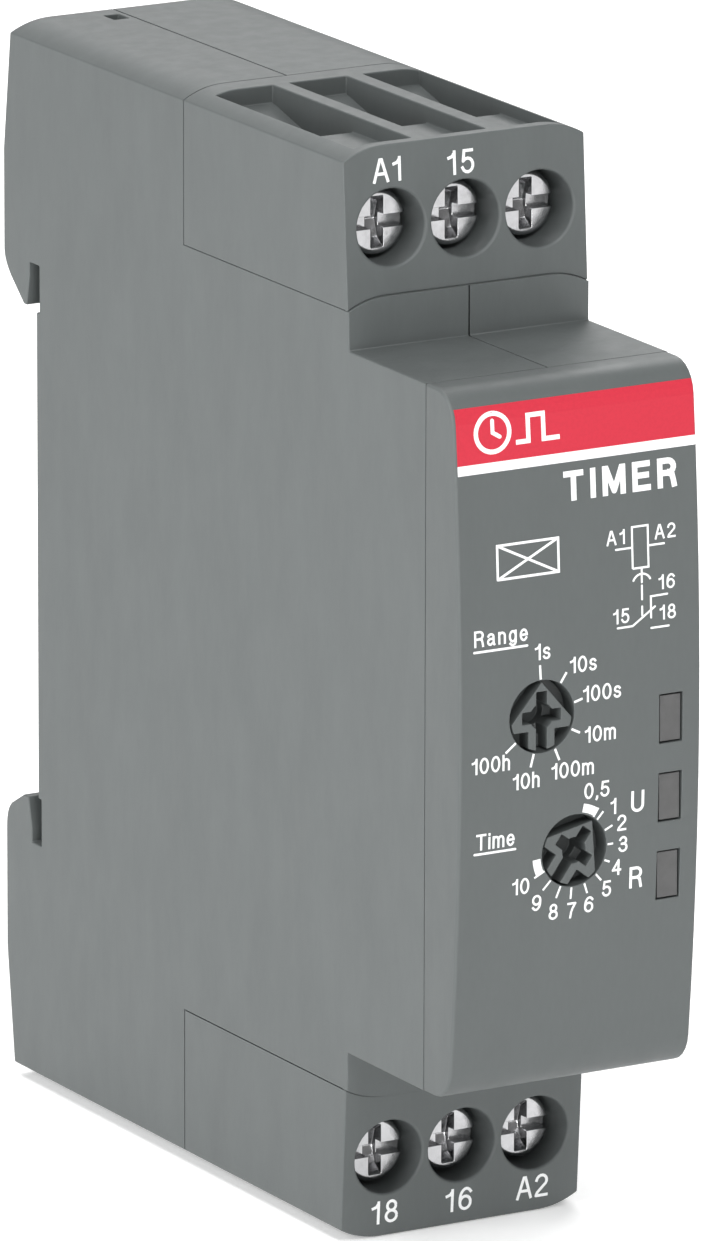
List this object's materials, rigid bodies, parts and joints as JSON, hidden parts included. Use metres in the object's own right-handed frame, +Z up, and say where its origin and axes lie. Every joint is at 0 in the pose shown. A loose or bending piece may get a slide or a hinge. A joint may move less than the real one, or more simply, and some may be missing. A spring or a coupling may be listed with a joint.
{
  "type": "din rail timer",
  "caption": "Modular time relay for a 35 mm rail, with a domed front panel, range and time knobs, screw terminals at top and bottom and a sprung rail clamp.",
  "frame": {"origin": "middle of the rail seat, on the plane of the rail, half way up the front panel", "axes": "+X to the right seen from the front, +Y towards the rail, +Z up"},
  "size_m": [0.0176, 0.0594, 0.0714],
  "materials": {
    "housing": "fine matte moulded texture",
    "panel": "fine matte moulded texture, printed",
    "knob": "satin",
    "window": "smoked, satin",
    "clamp": "satin",
    "steel": "nickel plated",
    "copper": "tinned copper alloy",
    "board": "solder mask",
    "black": "satin",
    "relay": "smooth",
    "winding": "enamelled wire",
    "sleeve": "shrink sleeve",
    "film": "moulded",
    "ceramic": "dipped coating",
    "lamp": "clear lens"
  },
  "bodies": {
    "housing": {"housing_left": "housing", "housing_right": "housing", "terminal_block_upper": "housing", "terminal_block_lower": "housing", "front_cap": "panel", "window_blank": "window", "light_guide_supply": "window", "light_guide_relay": "window", "relay_core": "steel", "relay_yoke": "steel", "relay_contact_nc": "copper", "relay_contact_no": "copper", "contact_bar_upper_left": "copper", "contact_bar_upper_middle": "copper", "contact_bar_upper_right": "copper", "contact_bar_lower_left": "copper", "contact_bar_lower_middle": "copper", "contact_bar_lower_right": "copper", "main_board": "board", "front_board": "board", "range_switch": "black", "time_potentiometer": "black", "board_connector": "black", "relay_base": "black", "microcontroller": "black", "relay_cover": "relay", "relay_coil": "winding", "electrolytic_capacitor": "sleeve", "film_capacitor": "film", "varistor": "ceramic", "led_supply": "lamp", "led_relay": "lamp"},
    "terminal_screw_upper_left": {"terminal_screw_upper_left": "steel"},
    "clamp_cage_upper_left": {"clamp_cage_upper_left": "steel"},
    "terminal_screw_upper_middle": {"terminal_screw_upper_middle": "steel"},
    "clamp_cage_upper_middle": {"clamp_cage_upper_middle": "steel"},
    "terminal_screw_upper_right": {"terminal_screw_upper_right": "steel"},
    "clamp_cage_upper_right": {"clamp_cage_upper_right": "steel"},
    "terminal_screw_lower_left": {"terminal_screw_lower_left": "steel"},
    "clamp_cage_lower_left": {"clamp_cage_lower_left": "steel"},
    "terminal_screw_lower_middle": {"terminal_screw_lower_middle": "steel"},
    "clamp_cage_lower_middle": {"clamp_cage_lower_middle": "steel"},
    "terminal_screw_lower_right": {"terminal_screw_lower_right": "steel"},
    "clamp_cage_lower_right": {"clamp_cage_lower_right": "steel"},
    "range_knob": {"range_knob": "knob"},
    "time_knob": {"time_knob": "knob"},
    "rail_clamp": {"rail_clamp": "clamp", "clamp_spring": "steel"},
    "relay_armature": {"relay_armature": "steel"}
  },
  "joints": [
    {"name": "screw_turn_upper_left", "type": "hinge", "parent": "housing", "child": "terminal_screw_upper_left", "pos_m": [-0.0054, -0.0387, 0.0304], "axis": [0, 1, 0], "range_deg": [0, 2071]},
    {"name": "cage_lift_upper_left", "type": "slide", "parent": "housing", "child": "clamp_cage_upper_left", "axis": [0, -1, 0], "range_m": [0, 0.00287]},
    {"name": "screw_turn_upper_middle", "type": "hinge", "parent": "housing", "child": "terminal_screw_upper_middle", "pos_m": [0, -0.0387, 0.0304], "axis": [0, 1, 0], "range_deg": [0, 2071]},
    {"name": "cage_lift_upper_middle", "type": "slide", "parent": "housing", "child": "clamp_cage_upper_middle", "axis": [0, -1, 0], "range_m": [0, 0.00287]},
    {"name": "screw_turn_upper_right", "type": "hinge", "parent": "housing", "child": "terminal_screw_upper_right", "pos_m": [0.0054, -0.0387, 0.0304], "axis": [0, 1, 0], "range_deg": [0, 2071]},
    {"name": "cage_lift_upper_right", "type": "slide", "parent": "housing", "child": "clamp_cage_upper_right", "axis": [0, -1, 0], "range_m": [0, 0.00287]},
    {"name": "screw_turn_lower_left", "type": "hinge", "parent": "housing", "child": "terminal_screw_lower_left", "pos_m": [-0.0054, -0.0387, -0.0304], "axis": [0, 1, 0], "range_deg": [0, 2071]},
    {"name": "cage_lift_lower_left", "type": "slide", "parent": "housing", "child": "clamp_cage_lower_left", "axis": [0, -1, 0], "range_m": [0, 0.00287]},
    {"name": "screw_turn_lower_middle", "type": "hinge", "parent": "housing", "child": "terminal_screw_lower_middle", "pos_m": [0, -0.0387, -0.0304], "axis": [0, 1, 0], "range_deg": [0, 2071]},
    {"name": "cage_lift_lower_middle", "type": "slide", "parent": "housing", "child": "clamp_cage_lower_middle", "axis": [0, -1, 0], "range_m": [0, 0.00287]},
    {"name": "screw_turn_lower_right", "type": "hinge", "parent": "housing", "child": "terminal_screw_lower_right", "pos_m": [0.0054, -0.0387, -0.0304], "axis": [0, 1, 0], "range_deg": [0, 2071]},
    {"name": "cage_lift_lower_right", "type": "slide", "parent": "housing", "child": "clamp_cage_lower_right", "axis": [0, -1, 0], "range_m": [0, 0.00287]},
    {"name": "range_knob_turn", "type": "hinge", "parent": "housing", "child": "range_knob", "pos_m": [-0.0028, -0.054, 0.00172], "axis": [0, 1, 0], "range_deg": [0, 237]},
    {"name": "time_knob_turn", "type": "hinge", "parent": "housing", "child": "time_knob", "pos_m": [-0.00033, -0.054, -0.00731], "axis": [0, 1, 0], "range_deg": [-3.5, 206.5]},
    {"name": "rail_clamp_slide", "type": "slide", "parent": "housing", "child": "rail_clamp", "axis": [0, 0, 1], "range_m": [0, 0.0024], "stiffness_N_per_m": 3000, "springref_m": -0.001, "deforming": ["clamp_spring"]},
    {"name": "armature_tip", "type": "hinge", "parent": "housing", "child": "relay_armature", "pos_m": [-0.0004, -0.0168, 0.0044], "axis": [1, 0, 0], "range_deg": [0, 3], "stiffness_Nm_per_rad": 0.02, "springref_deg": -2.86}
  ],
  "couplings": [
    {"joint": "screw_turn_upper_left", "follows": "cage_lift_upper_left", "rad_per_m": 12566},
    {"joint": "screw_turn_upper_middle", "follows": "cage_lift_upper_middle", "rad_per_m": 12566},
    {"joint": "screw_turn_upper_right", "follows": "cage_lift_upper_right", "rad_per_m": 12566},
    {"joint": "screw_turn_lower_left", "follows": "cage_lift_lower_left", "rad_per_m": 12566},
    {"joint": "screw_turn_lower_middle", "follows": "cage_lift_lower_middle", "rad_per_m": 12566},
    {"joint": "screw_turn_lower_right", "follows": "cage_lift_lower_right", "rad_per_m": 12566}
  ]
}
